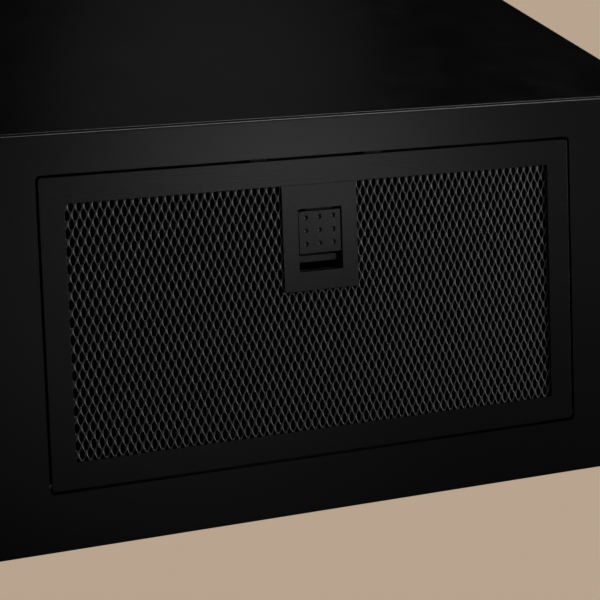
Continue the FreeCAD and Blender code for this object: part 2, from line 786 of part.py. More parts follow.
def chimney_screws():
    x = (chimney_width - 3) / 2
    return both_sides(pan_screw(x, chimney_screw_y, chimney_bolt_z, along_x))


def panel_screws():
    screws = []
    for y in panel_screw_places:
        screws += both_sides(pan_screw(half_width, y, panel_screw_z, along_x))
    return screws


def screw_holes():
    reach = half_width + 10
    holes = [rod(-reach, y, panel_screw_z, screw_radius, 2 * reach, along_x) for y in panel_screw_places]
    return Part.makeCompound(holes)


def lamp_bezel(x):
    ring = tube(x, lamp_y, -1.4, lamp_hole + 3, lamp_opening, 1.4)
    rim = [edge for edge in ring.Edges if edge.BoundBox.ZMax < -1.3 and edge.Length > 110]
    ring = ring.makeFillet(0.9, rim)
    return ring.fuse(tube(x, lamp_y, 0, lamp_hole - 0.3, lamp_lens_radius + 0.1, 12))


def lamp_lens(x):
    return rod(x, lamp_y, 0.1, lamp_lens_radius, 1.6)


def lamp_module(x):
    body = rod(x, lamp_y, 2.2, lamp_lens_radius - 0.1, 4)
    fins = rod(x, lamp_y, 6.2, 12.0, 14)
    for index in range(3):
        z = 9.0 + 4 * index
        fins = fins.cut(tube(x, lamp_y, z, 13, 8, 1.8))
    return body.fuse(fins)


def control_box():
    bottom = canopy_height - board_drop
    top = canopy_height - sheet
    outer = box(board_left, board_right, board_front, board_rear, bottom, top)
    inner = box(board_left + 2, board_right - 2, board_front + 2, board_rear - 2, bottom + 2, top - 2)
    return outer.cut(inner).cut(rod(gland_x, gland_y, canopy_height - 20, gland_hole, 40))


def control_board():
    bottom = canopy_height - board_drop + 8
    return box(board_left + 6, board_right - 6, board_front + 6, board_front + 54, bottom, bottom + 1.6)


def terminal_block():
    block = box(192, 240, -112, -94, canopy_height - 38.4, canopy_height - 24)
    for index in range(4):
        block = block.cut(rod(198 + 12 * index, -103, canopy_height - 30, 2.5, 20))
    return block


def cable_gland():
    z = canopy_height
    body = rod(gland_x, gland_y, z - 10, 8.0, 16)
    flange = rod(gland_x, gland_y, z, 11.5, 3)
    dome = rod(gland_x, gland_y, z + 3, 9.5, 9)
    dome = dome.makeFillet(3, [edge for edge in dome.Edges if edge.BoundBox.ZMin > z + 11.9])
    gland = body.fuse([flange, dome])
    return gland.cut(rod(gland_x, gland_y, z - 20, 3.6, 60))


save("canopy_shell", canopy_shell())
save("underside_panel", underside_panel())
save("filter_seat", filter_seat())
save("latch_keeper", *latch_keeper())
save("filter_frame", filter_frame())
save("mesh_front", mesh_slab(mesh_bottom, mesh_top, 6))
save("mesh_pack", mesh_slab(pack_bottom, frame_inside - 1.1, 6))
save("mesh_rear", mesh_slab(frame_inside - 1.0, frame_inside, 5.5))
save("filter_pivots", *filter_pivots())
save("latch_plate", latch_plate())
save("latch_pad", latch_pad())
save("latch_bar", latch_bar())
save("latch_springs", *latch_springs())
save("flap_glass", flap_glass())
save("flap_carrier", flap_carrier())
save("hinge_brackets", *hinge_brackets())
save("hinge_arms", *hinge_arms())
save("hinge_pins", *hinge_pins())
save("catch_magnets", *catch_magnets())
save("strike_plates", *strike_plates())
save("flap_bumpers", *flap_bumpers())
save("front_panel", front_panel())
save("control_fascia", control_fascia())
save("button_bezel", button_bezel())
for number, button_x in enumerate(button_places(), 1):
    save("push_button_" + str(number), push_button(button_x))
save("switch_board", switch_board())
save("tact_switches", *tact_switches())
save("blower_volute", blower_volute())
save("inlet_rings", *inlet_rings())
save("motor", motor())
save("motor_spider", motor_spider())
save("fan_wheel", fan_wheel())
save("motor_shaft", motor_shaft())
save("shaft_nut", shaft_nut())
save("blower_brackets", *blower_brackets())
save("run_capacitor", run_capacitor())
save("capacitor_clip", capacitor_clip())
save("carbon_filter_right", carbon_filter())
save("carbon_filter_left", carbon_filter().mirror(Vec(0, 0, 0), along_x))
save("outlet_box", outlet_box())
save("outlet_spigot", outlet_spigot())
save("damper_pin", damper_pin())
save("damper_front", damper_flap(-1, damper_sleeves[1::2]))
save("damper_rear", damper_flap(1, damper_sleeves[0::2]))
save("chimney_lower", chimney_lower())
save("chimney_upper", chimney_upper())
save("chimney_bracket", chimney_bracket())
save("chimney_screws", *chimney_screws())
save("panel_screws", *panel_screws())
save("lamp_bezels", lamp_bezel(-lamp_x), lamp_bezel(lamp_x))
save("lamp_lenses", lamp_lens(-lamp_x), lamp_lens(lamp_x))
save("lamp_modules", lamp_module(-lamp_x), lamp_module(lamp_x))
save("control_box", control_box())
save("control_board", control_board())
save("terminal_block", terminal_block())
save("cable_gland", cable_gland())
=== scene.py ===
import json
import math

import bpy
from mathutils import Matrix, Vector

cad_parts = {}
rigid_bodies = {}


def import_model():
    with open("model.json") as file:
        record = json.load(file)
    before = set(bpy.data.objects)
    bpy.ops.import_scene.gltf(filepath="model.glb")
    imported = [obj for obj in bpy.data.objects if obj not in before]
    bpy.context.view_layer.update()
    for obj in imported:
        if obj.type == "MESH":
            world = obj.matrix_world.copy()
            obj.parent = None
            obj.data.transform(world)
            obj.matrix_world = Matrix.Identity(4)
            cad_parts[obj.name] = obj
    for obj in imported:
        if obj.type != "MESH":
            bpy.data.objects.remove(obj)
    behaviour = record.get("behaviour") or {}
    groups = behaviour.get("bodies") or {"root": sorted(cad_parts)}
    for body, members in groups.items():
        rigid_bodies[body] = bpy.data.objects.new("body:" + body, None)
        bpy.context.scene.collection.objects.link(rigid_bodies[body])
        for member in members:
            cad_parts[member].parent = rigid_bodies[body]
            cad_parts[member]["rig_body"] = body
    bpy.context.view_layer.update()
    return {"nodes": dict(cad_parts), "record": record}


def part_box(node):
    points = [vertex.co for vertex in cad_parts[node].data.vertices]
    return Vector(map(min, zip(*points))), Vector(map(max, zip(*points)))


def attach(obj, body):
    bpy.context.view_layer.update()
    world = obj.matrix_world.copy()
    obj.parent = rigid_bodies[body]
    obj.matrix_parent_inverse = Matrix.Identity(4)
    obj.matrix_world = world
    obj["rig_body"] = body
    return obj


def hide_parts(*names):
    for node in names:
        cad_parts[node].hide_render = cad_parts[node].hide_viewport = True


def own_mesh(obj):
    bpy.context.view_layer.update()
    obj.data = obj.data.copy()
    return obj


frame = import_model()
cadNodes = frame["nodes"]
slotOfNode = {part["node"]: part["material_slot"] for part in frame["record"]["subparts"]}
mm = 0.001
print("frame loaded:", len(cadNodes), "nodes")


def clearSelection():
    if bpy.context.object and bpy.context.object.mode != "OBJECT":
        bpy.ops.object.mode_set(mode="OBJECT")
    bpy.ops.object.select_all(action="DESELECT")


def pickUp(piece):
    clearSelection()
    bpy.context.view_layer.objects.active = piece
    piece.select_set(True)


def addModifier(piece, kind, **settings):
    pickUp(piece)
    modifier = piece.modifiers.new(kind, kind)
    for key, value in settings.items():
        setattr(modifier, key, value)
    bpy.ops.object.modifier_apply(modifier=modifier.name)


def editMesh(piece):
    # everything deselected, ready for faces to be picked by place or normal
    pickUp(piece)
    bpy.ops.object.mode_set(mode="EDIT")
    bpy.ops.mesh.select_mode(type="FACE")
    bpy.ops.mesh.select_all(action="DESELECT")


def pickFaces(piece, wanted):
    # leaves edit mode for a moment, because faces are picked on the mesh itself
    editMesh(piece)
    bpy.ops.object.mode_set(mode="OBJECT")
    for face in piece.data.polygons:
        face.select = bool(wanted(face.center, face.normal))
    bpy.ops.object.mode_set(mode="EDIT")


def leaveEdit():
    bpy.ops.object.mode_set(mode="OBJECT")


def newest(name):
    piece = bpy.context.object
    piece.name = name
    piece.data.name = name
    return piece


def faceOut(piece, weld=0.002 * mm):
    editMesh(piece)
    bpy.ops.mesh.select_all(action="SELECT")
    bpy.ops.mesh.remove_doubles(threshold=weld)
    bpy.ops.mesh.normals_make_consistent(inside=False)
    leaveEdit()


def settle(piece, body, slotName, smoothAngle=35, standsFor=()):
    # place goes into the mesh, then the piece rides on its body
    pickUp(piece)
    bpy.ops.object.transform_apply(location=True, rotation=True, scale=True)
    bpy.ops.object.shade_smooth_by_angle(angle=math.radians(smoothAngle))
    piece.data.materials.clear()
    piece.data.materials.append(finishes[slotName])
    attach(piece, body)
    if standsFor:
        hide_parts(*standsFor)
    return piece


def middle(box):
    return (box[0] + box[1]) / 2


def colour(hexText):
    levels = [int(hexText[i:i + 2], 16) / 255 for i in (0, 2, 4)]
    return [c / 12.92 if c <= 0.04045 else ((c + 0.055) / 1.055) ** 2.4 for c in levels] + [1.0]


def addNode(tree, kind, settings=None, links=None):
    node = tree.nodes.new(kind)
    for key, value in (settings or {}).items():
        if isinstance(key, int) or key in node.inputs:
            node.inputs[key].default_value = value
        else:
            setattr(node, key, value)
    for socket, source in (links or {}).items():
        tree.links.new(source, node.inputs[socket])
    return node


def startMaterial(name, surface):
    material = bpy.data.materials.new(name)
    material.use_nodes = True
    tree = material.node_tree
    shader = tree.nodes["Principled BSDF"]
    for socket, value in surface.items():
        shader.inputs[socket].default_value = value
    place = addNode(tree, "ShaderNodeTexCoord").outputs["Object"]
    return material, tree, shader, place


def perMetre(grainMm):
    # noise features come out about one unit across
    return 1.0 / (grainMm * mm)


def satinPowderCoat(name, base, pale, roughness):
    # black polyester powder on brushed sheet steel: fine lines of the brushing still lie under
    # the coat, all along the hood, and break the highlight into faint level streaks
    brush = {"lineLength": 60.0, "lineWidth": 0.7, "peel": 1.1}
    surface = {"Base Color": colour(base), "Roughness": roughness, "Metallic": 0.0, "IOR": 1.5}
    material, tree, shader, place = startMaterial(name, surface)
    along = [perMetre(brush["lineLength"])] + [perMetre(brush["lineWidth"])] * 2
    stretched = addNode(tree, "ShaderNodeMapping", {"Scale": along}, {"Vector": place})
    lines = addNode(tree, "ShaderNodeTexNoise", {"Scale": 1.0, "Detail": 3.0},
                    {"Vector": stretched.outputs["Vector"]})
    peel = addNode(tree, "ShaderNodeTexNoise", {"Scale": perMetre(brush["peel"]), "Detail": 1.0},
                   {"Vector": place})
    gloss = addNode(tree, "ShaderNodeMapRange",
                    {"From Min": 0.2, "From Max": 0.8,
                     "To Min": roughness - 0.008, "To Max": roughness + 0.008},
                    {"Value": lines.outputs["Fac"]})
    tree.links.new(gloss.outputs["Result"], shader.inputs["Roughness"])
    tone = addNode(tree, "ShaderNodeMix", {"data_type": "RGBA", 6: colour(base), 7: colour(pale)},
                   {0: lines.outputs["Fac"]})
    tree.links.new(tone.outputs[2], shader.inputs["Base Color"])
    ripple = addNode(tree, "ShaderNodeBump", {"Strength": 0.035, "Distance": 0.02 * mm},
                     {"Height": peel.outputs["Fac"]})
    lineBump = addNode(tree, "ShaderNodeBump", {"Strength": 0.03, "Distance": 0.01 * mm},
                       {"Height": lines.outputs["Fac"], "Normal": ripple.outputs["Normal"]})
    tree.links.new(lineBump.outputs["Normal"], shader.inputs["Normal"])
    return material


def anodisedExpandedAluminium():
    # slit and stretched aluminium, dyed black in the anodising bath: a dull metal gloss with
    # faint drawn marks on each strand
    marks = {"grain": 0.5}
    surface = {"Base Color": colour("6c6c6f"), "Metallic": 1.0, "Roughness": 0.4}
    material, tree, shader, place = startMaterial("black anodised expanded aluminium", surface)
    grain = addNode(tree, "ShaderNodeTexNoise", {"Scale": perMetre(marks["grain"]), "Detail": 2.0},
                    {"Vector": place})
    tone = addNode(tree, "ShaderNodeMix", {"data_type": "RGBA", 6: colour("646467"), 7: colour("747477")},
                   {0: grain.outputs["Fac"]})
    tree.links.new(tone.outputs[2], shader.inputs["Base Color"])
    gloss = addNode(tree, "ShaderNodeMapRange",
                    {"From Min": 0.3, "From Max": 0.7, "To Min": 0.36, "To Max": 0.44},
                    {"Value": grain.outputs["Fac"]})
    tree.links.new(gloss.outputs["Result"], shader.inputs["Roughness"])
    return material


def knitPaintedAsShade():
    # stacked fine aluminium knit inside the cassette, painted near-black: painted shade for the dark inside
    # the cassette seen through the holes, not the knit's own colour
    surface = {"Base Color": colour("08080a"), "Roughness": 0.85, "Specular IOR Level": 0.1}
    material, tree, shader, place = startMaterial("aluminium knit painted near-black as shade", surface)
    knit = addNode(tree, "ShaderNodeTexVoronoi", {"Scale": perMetre(1.4)}, {"Vector": place})
    tone = addNode(tree, "ShaderNodeMix", {"data_type": "RGBA", 6: colour("030304"), 7: colour("0e0e10")},
                   {0: knit.outputs["Distance"]})
    tree.links.new(tone.outputs[2], shader.inputs["Base Color"])
    return material


def enamelledGlass():
    # float glass with a black ceramic frit fired on the back: a clear gloss over an even black,
    # with the faint roller waves of the toughening oven
    waves = {"across": 90.0}
    surface = {"Base Color": colour("09090b"), "Roughness": 0.11, "IOR": 1.52}
    material, tree, shader, place = startMaterial("black enamelled toughened glass", surface)
    wave = addNode(tree, "ShaderNodeTexNoise", {"Scale": perMetre(waves["across"]), "Detail": 0.0},
                   {"Vector": place})
    bump = addNode(tree, "ShaderNodeBump", {"Strength": 0.02, "Distance": 1.0 * mm},
                   {"Height": wave.outputs["Fac"]})
    tree.links.new(bump.outputs["Normal"], shader.inputs["Normal"])
    film = addNode(tree, "ShaderNodeTexNoise", {"Scale": perMetre(35.0), "Detail": 4.0},
                   {"Vector": place})
    gloss = addNode(tree, "ShaderNodeMapRange",
                    {"From Min": 0.3, "From Max": 0.7, "To Min": 0.09, "To Max": 0.14},
                    {"Value": film.outputs["Fac"]})
    tree.links.new(gloss.outputs["Result"], shader.inputs["Roughness"])
    return material


def mouldedPlastic(name, dark, pale, roughness, grainMm, depth):
    # injection moulded in a spark-eroded tool: an even matt grain and slightly uneven gloss
    surface = {"Base Color": colour(dark), "Roughness": roughness, "IOR": 1.5}
    material, tree, shader, place = startMaterial(name, surface)
    grain = addNode(tree, "ShaderNodeTexNoise", {"Scale": perMetre(grainMm), "Detail": 2.0},
                    {"Vector": place})
    flow = addNode(tree, "ShaderNodeTexNoise", {"Scale": perMetre(40.0), "Detail": 1.0},
                   {"Vector": place})
    tone = addNode(tree, "ShaderNodeMix", {"data_type": "RGBA", 6: colour(dark), 7: colour(pale)},
                   {0: flow.outputs["Fac"]})
    tree.links.new(tone.outputs[2], shader.inputs["Base Color"])
    gloss = addNode(tree, "ShaderNodeMapRange",
                    {"From Min": 0.1, "From Max": 0.9,
                     "To Min": roughness - 0.02, "To Max": roughness + 0.02},
                    {"Value": flow.outputs["Fac"]})
    tree.links.new(gloss.outputs["Result"], shader.inputs["Roughness"])
    bump = addNode(tree, "ShaderNodeBump", {"Strength": depth, "Distance": 0.03 * mm},
                   {"Height": grain.outputs["Fac"]})
    tree.links.new(bump.outputs["Normal"], shader.inputs["Normal"])
    return material


def zincPlate(name, dark, pale, roughness):
    # bright zinc with a clear passivate over pressed steel: cloudy crystals and a cool tint
    surface = {"Base Color": colour(dark), "Metallic": 1.0, "Roughness": roughness}
    material, tree, shader, place = startMaterial(name, surface)
    crystals = addNode(tree, "ShaderNodeTexVoronoi", {"Scale": perMetre(3.0)}, {"Vector": place})
    cloud = addNode(tree, "ShaderNodeTexNoise", {"Scale": perMetre(9.0), "Detail": 3.0},
                    {"Vector": place})
    tone = addNode(tree, "ShaderNodeMix", {"data_type": "RGBA", 6: colour(dark), 7: colour(pale)},
                   {0: cloud.outputs["Fac"]})
    tree.links.new(tone.outputs[2], shader.inputs["Base Color"])
    gloss = addNode(tree, "ShaderNodeMapRange",
                    {"From Min": 0, "From Max": 1, "To Min": roughness - 0.06, "To Max": roughness + 0.08},
                    {"Value": crystals.outputs["Distance"]})
    tree.links.new(gloss.outputs["Result"], shader.inputs["Roughness"])
    return material


def turnedSteel():
    # bar and wire ground bright: rings of the tool, too fine to see, widen the highlight
    surface = {"Base Color": colour("c6c7c9"), "Metallic": 1.0, "Roughness": 0.24}
    material, tree, shader, place = startMaterial("ground bright steel", surface)
    rings = addNode(tree, "ShaderNodeTexWave",
                    {"Scale": perMetre(1.6), "bands_direction": "X", "Distortion": 1.5},
                    {"Vector": place})
    gloss = addNode(tree, "ShaderNodeMapRange",
                    {"From Min": 0, "From Max": 1, "To Min": 0.2, "To Max": 0.32},
                    {"Value": rings.outputs["Fac"]})
    tree.links.new(gloss.outputs["Result"], shader.inputs["Roughness"])
    tone = addNode(tree, "ShaderNodeMix", {"data_type": "RGBA", 6: colour("b9babc"), 7: colour("d0d1d3")},
                   {0: rings.outputs["Fac"]})
    tree.links.new(tone.outputs[2], shader.inputs["Base Color"])
    return material


def circuitLaminate():
    # glass-fibre laminate under green solder mask: copper tracks show as paler lines
    weave = {"trackPitch": 5.0}
    surface = {"Base Color": colour("1d5c3c"), "Roughness": 0.32, "IOR": 1.5}
    material, tree, shader, place = startMaterial("green solder-masked laminate", surface)
    tracks = addNode(tree, "ShaderNodeTexBrick",
                     {"Scale": 1.0, "Brick Width": 2.6 * weave["trackPitch"] * mm,
                      "Row Height": weave["trackPitch"] * mm, "Mortar Size": 0.35 * mm},
                     {"Vector": place})
    tone = addNode(tree, "ShaderNodeMix", {"data_type": "RGBA", 6: colour("1b5738"), 7: colour("3a8a5c")},
                   {0: tracks.outputs["Fac"]})
    tree.links.new(tone.outputs[2], shader.inputs["Base Color"])
    return material


def epdmRubber():
    # moulded EPDM: dead matt, with a dusting of bloom
    surface = {"Base Color": colour("1b1b1c"), "Roughness": 0.82, "IOR": 1.52}
    material, tree, shader, place = startMaterial("black EPDM rubber", surface)
    bloom = addNode(tree, "ShaderNodeTexNoise", {"Scale": perMetre(2.0), "Detail": 4.0},
                    {"Vector": place})
    tone = addNode(tree, "ShaderNodeMix", {"data_type": "RGBA", 6: colour("181819"), 7: colour("2a2a2b")},
                   {0: bloom.outputs["Fac"]})
    tree.links.new(tone.outputs[2], shader.inputs["Base Color"])
    return material


def frostedLens():
    # opal polycarbonate over the LEDs: milky, with light just entering the surface
    surface = {"Base Color": colour("dcdbd4"), "Roughness": 0.38, "IOR": 1.58,
               "Subsurface Weight": 0.25, "Subsurface Radius": (0.003, 0.003, 0.003)}
    material, tree, shader, place = startMaterial("frosted polycarbonate", surface)
    frost = addNode(tree, "ShaderNodeTexNoise", {"Scale": perMetre(0.8), "Detail": 2.0},
                    {"Vector": place})
    tone = addNode(tree, "ShaderNodeMix", {"data_type": "RGBA", 6: colour("d2d1ca"), 7: colour("e6e5df")},
                   {0: frost.outputs["Fac"]})
    tree.links.new(tone.outputs[2], shader.inputs["Base Color"])
    return material


def dieCastAluminium():
    # pressure die casting, as cast: a grainy pewter grey
    surface = {"Base Color": colour("b3b5b9"), "Metallic": 1.0, "Roughness": 0.48}
    material, tree, shader, place = startMaterial("die-cast aluminium", surface)
    skin = addNode(tree, "ShaderNodeTexNoise", {"Scale": perMetre(0.6), "Detail": 3.0},
                   {"Vector": place})
    tone = addNode(tree, "ShaderNodeMix", {"data_type": "RGBA", 6: colour("a3a5a9"), 7: colour("bfc1c5")},
                   {0: skin.outputs["Fac"]})
    tree.links.new(tone.outputs[2], shader.inputs["Base Color"])
    bump = addNode(tree, "ShaderNodeBump", {"Strength": 0.2, "Distance": 0.05 * mm},
                   {"Height": skin.outputs["Fac"]})
    tree.links.new(bump.outputs["Normal"], shader.inputs["Normal"])
    return material


finishes = {
    "black_steel": satinPowderCoat("satin black powder coat", "121214", "151517", 0.26),
    "filter_steel": satinPowderCoat("satin black powder coat, filter", "111113", "141416", 0.27),
    "carrier_steel": satinPowderCoat("satin black e-coat", "131315", "1a1a1d", 0.45),
    "lamp_ring": satinPowderCoat("satin black spun ring", "151517", "1d1d20", 0.3),
    "filter_mesh": anodisedExpandedAluminium(),
    "black_glass": enamelledGlass(),
    "latch_plastic": mouldedPlastic("black grained ABS", "141416", "1a1a1c", 0.27, 0.35, 0.08),
    "magnet_housing": mouldedPlastic("black PBT housing", "303032", "3a3a3c", 0.5, 0.5, 0.2),
    "trim_plastic": mouldedPlastic("black PC-ABS trim", "151516", "1c1c1e", 0.36, 0.3, 0.1),
    "button_plastic": mouldedPlastic("black gloss ABS button", "1c1c1e", "222225", 0.2, 0.5, 0.04),
    "switch_plastic": mouldedPlastic("natural nylon", "c7c5bd", "d2d0c8", 0.5, 0.5, 0.15),
    "blower_plastic": mouldedPlastic("dark grey polypropylene", "505153", "585a5c", 0.46, 0.7, 0.25),
    "wheel_plastic": mouldedPlastic("charcoal polypropylene", "3f3f41", "48484a", 0.42, 0.6, 0.2),
    "carbon_cartridge": mouldedPlastic("black ABS cartridge", "2f2f31", "39393b", 0.44, 0.6, 0.2),
    "spigot_plastic": mouldedPlastic("black polypropylene spigot", "58585a", "626264", 0.5, 0.7, 0.25),
    "capacitor_can": mouldedPlastic("ivory polypropylene can", "d6d4c9", "e2e0d6", 0.34, 0.8, 0.05),
    "zinc_steel": zincPlate("clear passivated zinc plate", "a9adb3", "c3c7cc", 0.34),
    "motor_can": zincPlate("zinc plated motor can", "a2a5aa", "bcbfc4", 0.3),
    "screw_steel": zincPlate("black oxide steel", "2c2c2e", "39393b", 0.4),
    "bright_steel": turnedSteel(),
    "board": circuitLaminate(),
    "bumper_rubber": epdmRubber(),
    "lamp_lens": frostedLens(),
    "lamp_sink": dieCastAluminium(),
}
for nodeName, node in cadNodes.items():
    node.data.materials.clear()
    node.data.materials.append(finishes[slotOfNode[nodeName]])
# the knit pack behind the sheets gets near-black painted shade in place of its aluminium slot finish
cadNodes["mesh_pack"].data.materials[0] = knitPaintedAsShade()
print("materials made:", len(finishes))


softEdges = {
    # node: (edge radius in mm, corner angle that counts as an edge)
    "canopy_shell": (0.35, 50), "underside_panel": (0.3, 50), "filter_seat": (0.3, 50),
    "front_panel": (0.25, 50), "control_fascia": (0.45, 25), "chimney_lower": (0.3, 50),
    "chimney_upper": (0.3, 50), "filter_frame": (0.4, 50), "latch_plate": (0.45, 50),
    "latch_pad": (0.15, 50),
    "flap_glass": (0.2, 30), "flap_carrier": (0.4, 50), "button_bezel": (0.3, 50),
    "hinge_brackets": (0.2, 50), "hinge_arms": (0.3, 50), "catch_magnets": (0.5, 50),
    "strike_plates": (0.15, 50), "latch_bar": (0.2, 50), "latch_keeper": (0.2, 50),
    "blower_brackets": (0.25, 50), "outlet_box": (0.6, 50), "control_box": (0.6, 50),
    "terminal_block": (0.4, 50), "tact_switches": (0.15, 50), "chimney_bracket": (0.2, 50),
    "lamp_modules": (0.3, 50), "capacitor_clip": (0.2, 50), "motor_spider": (0.25, 50),
}


def copyOf(nodeName, name):
    piece = bpy.data.objects.new(name, cadNodes[nodeName].data.copy())
    bpy.context.scene.collection.objects.link(piece)
    pickUp(piece)
    bpy.ops.mesh.customdata_custom_splitnormals_clear()
    return piece


def softCopy(nodeName):
    radius, cornerAngle = softEdges[nodeName]
    piece = copyOf(nodeName, nodeName + "Soft")
    bpy.ops.object.mode_set(mode="EDIT")
    bpy.ops.mesh.select_all(action="SELECT")
    bpy.ops.mesh.remove_doubles(threshold=0.002 * mm)
    bpy.ops.mesh.dissolve_limited(angle_limit=math.radians(0.6))
    leaveEdit()
    addModifier(piece, "BEVEL", width=radius * mm, segments=2, limit_method="ANGLE",
                angle_limit=math.radians(cornerAngle), use_clamp_overlap=True)
    body = cadNodes[nodeName]["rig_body"]
    settle(piece, body, slotOfNode[nodeName], 38, [nodeName])
    # flat faces stay flat right up to their rounded edges
    addModifier(piece, "WEIGHTED_NORMAL", mode="FACE_AREA", weight=100, keep_sharp=True)
    return piece


softPieces = {nodeName: softCopy(nodeName) for nodeName in softEdges}
# a dead black: painted shade, so the bar in the seam and behind the pad reads as the dark of a gap
barPaintedShade = mouldedPlastic("dead black painted as seam shade", "0a0a0b", "0e0e0f", 0.55, 0.2, 0.02)
softPieces["latch_bar"].data.materials[0] = barPaintedShade
print("soft edges:", len(softEdges), "pieces")


def latchSpringPair():
    # same coils as the fitted pair, copied and welded, riding on the springs' body
    pair = copyOf("latch_springs", "latchSpringPair")
    editMesh(pair)
    bpy.ops.mesh.select_all(action="SELECT")
    bpy.ops.mesh.remove_doubles(threshold=0.001 * mm)
    leaveEdit()
    settle(pair, cadNodes["latch_springs"]["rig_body"], slotOfNode["latch_springs"], 50, ["latch_springs"])
    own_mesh(pair)


latchSpringPair()
print("latch springs done")


meshSheet = {
    "pitchX": 6.0, "pitchY": 11.86,          # across and along the holes, mm
    "holeHalfX": 1.75, "holeHalfY": 3.75,
    "strandTilt": 3.0,                      # degrees that the strands turn when the sheet is stretched
    "thickness": 0.42,
    "latchGap": 0.3,
}


def meshCell(segments, tilt):
    # one diamond of the sheet with its almond hole; the second one beside it makes the repeat
    halfX = meshSheet["pitchX"] / 2 * mm
    halfY = meshSheet["pitchY"] / 2 * mm
    clearSelection()
    bpy.ops.mesh.primitive_circle_add(vertices=4, radius=1.0)
    cell = newest("meshCell")
    cell.scale = (halfX, halfY, 1)
    bpy.ops.object.transform_apply(scale=True)
    bpy.ops.object.mode_set(mode="EDIT")
    bpy.ops.mesh.select_mode(type="EDGE")
    bpy.ops.mesh.select_all(action="SELECT")
    bpy.ops.mesh.subdivide(number_cuts=segments // 4 - 1)
    bpy.ops.mesh.select_all(action="DESELECT")
    bpy.ops.mesh.primitive_circle_add(vertices=segments, radius=1.0)
    stretch = (meshSheet["holeHalfX"] * mm, meshSheet["holeHalfY"] * mm, 1)
    bpy.ops.transform.resize(value=stretch, center_override=(0, 0, 0))
    bpy.ops.transform.rotate(value=math.radians(tilt), orient_axis="Y", center_override=(0, 0, 0))
    bpy.ops.mesh.select_all(action="SELECT")
    bpy.ops.mesh.bridge_edge_loops()
    bpy.ops.mesh.select_all(action="SELECT")
    bpy.ops.mesh.duplicate_move(TRANSFORM_OT_translate={"value": (halfX, halfY, 0)})
    leaveEdit()
    faceOut(cell)
    return cell


def cutAlong(piece, point, normal, clear):
    # a straight cut through the whole sheet, dropping the side the normal points to
    editMesh(piece)
    bpy.ops.mesh.select_all(action="SELECT")
    bpy.ops.mesh.bisect(plane_co=point, plane_no=normal, clear_outer=clear)
    leaveEdit()


def expandedMesh(name, nodeName, segments, tilt):
    low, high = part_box(nodeName)
    centre = middle((low, high))
    pitchX = meshSheet["pitchX"] * mm
    pitchY = meshSheet["pitchY"] * mm
    sheet = meshCell(segments, tilt)
    countX = math.ceil((high.x - low.x) / pitchX) + 2
    countY = math.ceil((high.y - low.y) / pitchY) + 2
    addModifier(sheet, "ARRAY", count=countX, use_relative_offset=False, use_constant_offset=True,
                constant_offset_displace=(pitchX, 0, 0), use_merge_vertices=True,
                merge_threshold=0.01 * mm)
    addModifier(sheet, "ARRAY", count=countY, use_relative_offset=False, use_constant_offset=True,
                constant_offset_displace=(0, pitchY, 0), use_merge_vertices=True,
                merge_threshold=0.01 * mm)
    sheet.name = name
    sheet.location = (centre.x - countX // 2 * pitchX, low.y - pitchY * 0.8, centre.z)
    pickUp(sheet)
    bpy.ops.object.transform_apply(location=True)
    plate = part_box("latch_plate")
    gap = meshSheet["latchGap"] * mm
    right, rear = plate[1].x + gap, plate[1].y + gap
    cutAlong(sheet, (low.x, 0, 0), (-1, 0, 0), True)
    cutAlong(sheet, (high.x, 0, 0), (1, 0, 0), True)
    cutAlong(sheet, (0, low.y, 0), (0, -1, 0), True)
    cutAlong(sheet, (0, high.y, 0), (0, 1, 0), True)
    cutAlong(sheet, (-right, 0, 0), (1, 0, 0), False)
    cutAlong(sheet, (right, 0, 0), (1, 0, 0), False)
    cutAlong(sheet, (0, rear, 0), (0, 1, 0), False)
    pickFaces(sheet, lambda spot, normal: abs(spot.x) < right and spot.y < rear)
    bpy.ops.mesh.delete(type="FACE")
    leaveEdit()
    faceOut(sheet)
    addModifier(sheet, "SOLIDIFY", thickness=meshSheet["thickness"] * mm, offset=0.0)
    # smoothed right round, because a stretched strand has rolled edges
    return settle(sheet, "filter", "filter_mesh", 180, [nodeName])


# two grades of segments, because only the front sheet is seen close
frontSheet = expandedMesh("expandedSheetFront", "mesh_front", 16, -meshSheet["strandTilt"])
print("front expanded sheet:", len(frontSheet.data.polygons), "faces")
rearSheet = expandedMesh("expandedSheetRear", "mesh_rear", 8, meshSheet["strandTilt"])
print("rear expanded sheet:", len(rearSheet.data.polygons), "faces")


studio = {
    "backdrop": "b9a48f",
    "ambient": 0.004,
    "glow": 0.05, "glowToward": (0.46, -0.608, 0.647), "glowCosine": 0.9958,
    "keyPower": 0.38, "keySize": (0.1, 0.42), "keyPlace": (0.76, -0.14, -1.66),
    "fillPower": 0.1, "fillSize": (0.4, 0.6), "fillPlace": (0.5, 0.1, -1.66),
    "sidePower": 7.0, "sideSize": (0.7, 0.7), "sidePlace": (2.2, -0.2, -1.2),
    "skyPower": 90.0, "skySize": (2.5, 2.5), "skyPlace": (-1.2, -2.0, 2.6),
    "frontPower": 30.0, "frontSize": (1.6, 1.6), "frontPlace": (1.8, -3.2, 0.5),
    "lowPower": 5.0, "lowSize": (1.4, 1.0), "lowPlace": (-0.9, -2.4, -2.6),
    "bodyMiddle": (0, -0.2, 0.1), "glassMiddle": (0, -0.3, 0),
    "horizon": 0.16, "zenith": 1.5,
    "floorHeight": -3.2,
}


def areaLight(name, power, sizes, place, toward):
    clearSelection()
    bpy.ops.object.light_add(type="AREA", location=place)
    lamp = bpy.context.object
    lamp.name = name
    lamp.data.energy = power
    lamp.data.shape = "ELLIPSE"
    lamp.data.size, lamp.data.size_y = sizes
    aim = Vector(toward) - Vector(place)
    lamp.rotation_euler = aim.to_track_quat("-Z", "Y").to_euler()
    return lamp


